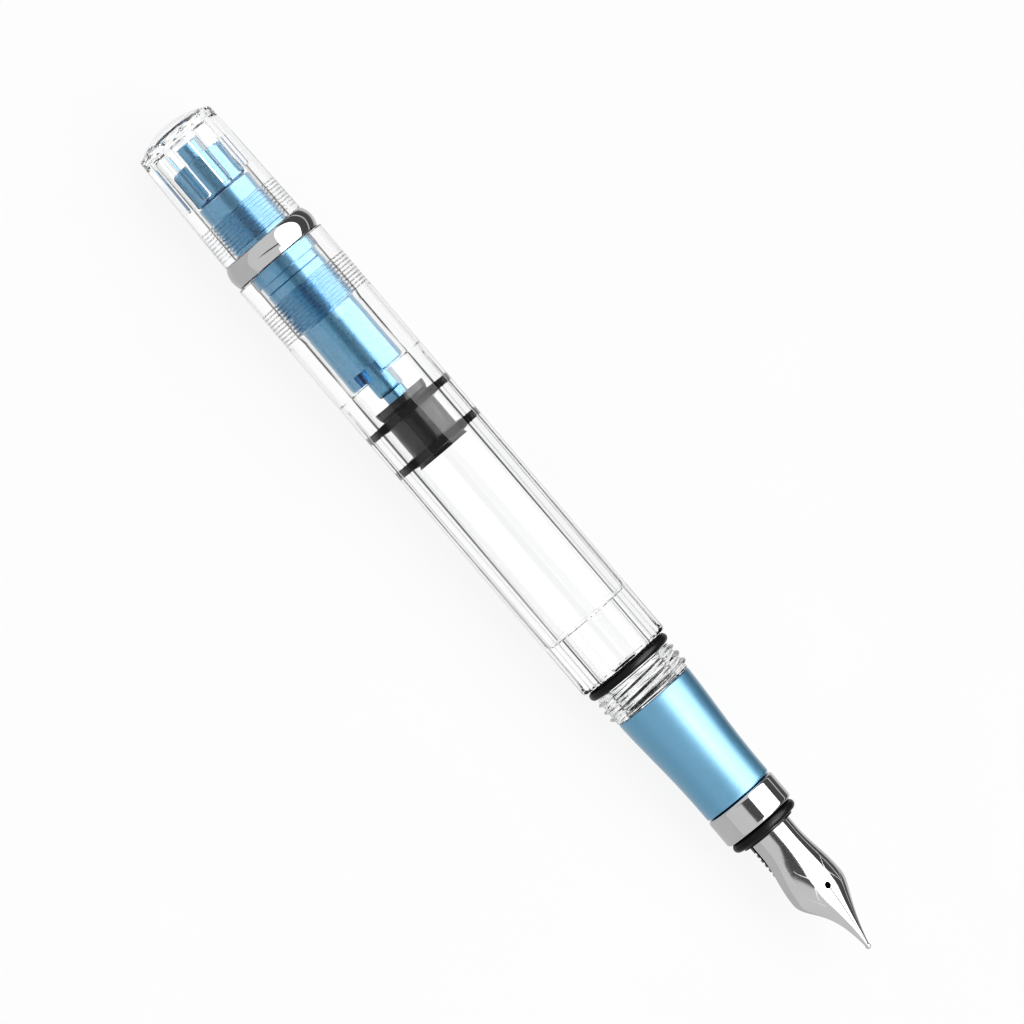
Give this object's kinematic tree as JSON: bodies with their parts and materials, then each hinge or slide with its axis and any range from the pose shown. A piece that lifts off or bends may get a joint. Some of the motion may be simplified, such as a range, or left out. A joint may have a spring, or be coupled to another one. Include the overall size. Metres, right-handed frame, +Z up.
{
  "type": "piston-filling fountain pen",
  "caption": "Clear piston-filling fountain pen without its cap: threaded filling knob, faceted ink barrel, blue metal piston mechanism and grip, and a polished steel nib.",
  "frame": {"origin": "centre of the pen's length, on the surface it lies on, under the turning axis", "axes": "+X along the pen's axis toward the tip of the nib, +Z up out of the top of the nib, +Y to the nib's left"},
  "size_m": [0.1315, 0.0128, 0.0128],
  "materials": {
    "clear_plastic": "clear polished",
    "blue_aluminium": "satin anodised",
    "polished_trim": "mirror polished",
    "black_rubber": "smooth",
    "black_plastic": "moulded",
    "nib_steel": "polished steel",
    "spring_steel": "plain",
    "white_plastic": "plain"
  },
  "bodies": {
    "pen": {"barrel": "clear_plastic", "cap_seal_o_ring": "black_rubber", "grip_section": "blue_aluminium", "nose_ring": "polished_trim", "nose_o_ring": "black_rubber", "nib_housing": "black_plastic", "nib_unit_o_ring": "black_rubber", "feed": "black_plastic", "nib": "nib_steel", "collar_ring": "polished_trim", "piston_guide": "blue_aluminium", "thrust_washer": "white_plastic", "retaining_ring": "spring_steel"},
    "drive": {"drive_sleeve": "blue_aluminium", "spline_hub": "blue_aluminium"},
    "filling_knob": {"knob": "clear_plastic"},
    "piston": {"piston_rod": "blue_aluminium", "piston_seal": "black_rubber"}
  },
  "joints": [
    {"name": "knob_turn", "type": "hinge", "parent": "pen", "child": "drive", "pos_m": [-0.05775, 0, 0.00641], "axis": [-1, 0, 0], "range_deg": [0, 2160]},
    {"name": "knob_rise", "type": "slide", "parent": "drive", "child": "filling_knob", "axis": [-1, 0, 0], "range_m": [0, 0.003]},
    {"name": "piston_stroke", "type": "slide", "parent": "pen", "child": "piston", "axis": [1, 0, 0], "range_m": [0, 0.0264]}
  ],
  "couplings": [
    {"joint": "knob_turn", "follows": "piston_stroke", "rad_per_m": 1428},
    {"joint": "knob_rise", "follows": "piston_stroke", "ratio": 0.11364}
  ]
}
